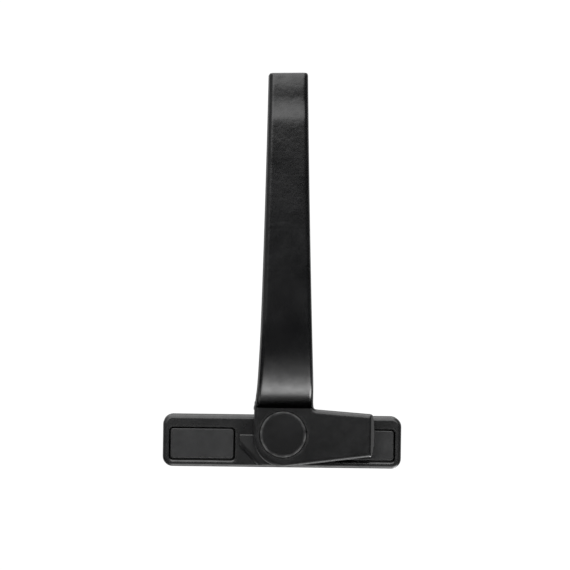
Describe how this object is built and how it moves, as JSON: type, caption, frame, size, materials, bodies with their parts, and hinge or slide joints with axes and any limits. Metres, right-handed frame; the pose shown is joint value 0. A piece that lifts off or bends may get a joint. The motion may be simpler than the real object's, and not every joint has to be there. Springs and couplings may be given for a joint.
{
  "type": "cockspur window handle",
  "caption": "Lever handle for an outward-opening casement window: a turning spur clamps the sash to its frame, on a base plate with covered screws.",
  "frame": {"origin": "where the pivot axis meets the mounting face at the back of the base plate", "axes": "+Y out of the mounting face into the window sash, -Y towards the user; +X along the base plate, the way the spur points when unlocked; +Z along the lever when unlocked"},
  "size_m": [0.098, 0.0403, 0.1598],
  "materials": {
    "black_paint": "satin powder coat on a zinc die casting",
    "dark_plastic": "fine matte moulded plastic",
    "nylon": "dark nylon",
    "zinc_steel": "zinc plated",
    "bush_brass": "turned"
  },
  "bodies": {
    "base": {"base_plate": "black_paint", "left_screw_cover": "dark_plastic", "right_screw_cover": "dark_plastic", "pivot_screw": "zinc_steel", "friction_washer": "nylon"},
    "handle": {"handle": "black_paint", "hub_cap": "dark_plastic", "pivot_bush": "bush_brass", "spring_seat_washer": "zinc_steel", "inner_disc_spring": "zinc_steel", "outer_disc_spring": "zinc_steel", "stop_pin": "zinc_steel", "spur_wear_pad": "nylon"}
  },
  "joints": [
    {"name": "handle_turn", "type": "hinge", "parent": "base", "child": "handle", "pos_m": [0, 0, 0], "axis": [0, 1, 0], "range_deg": [0, 90]}
  ]
}
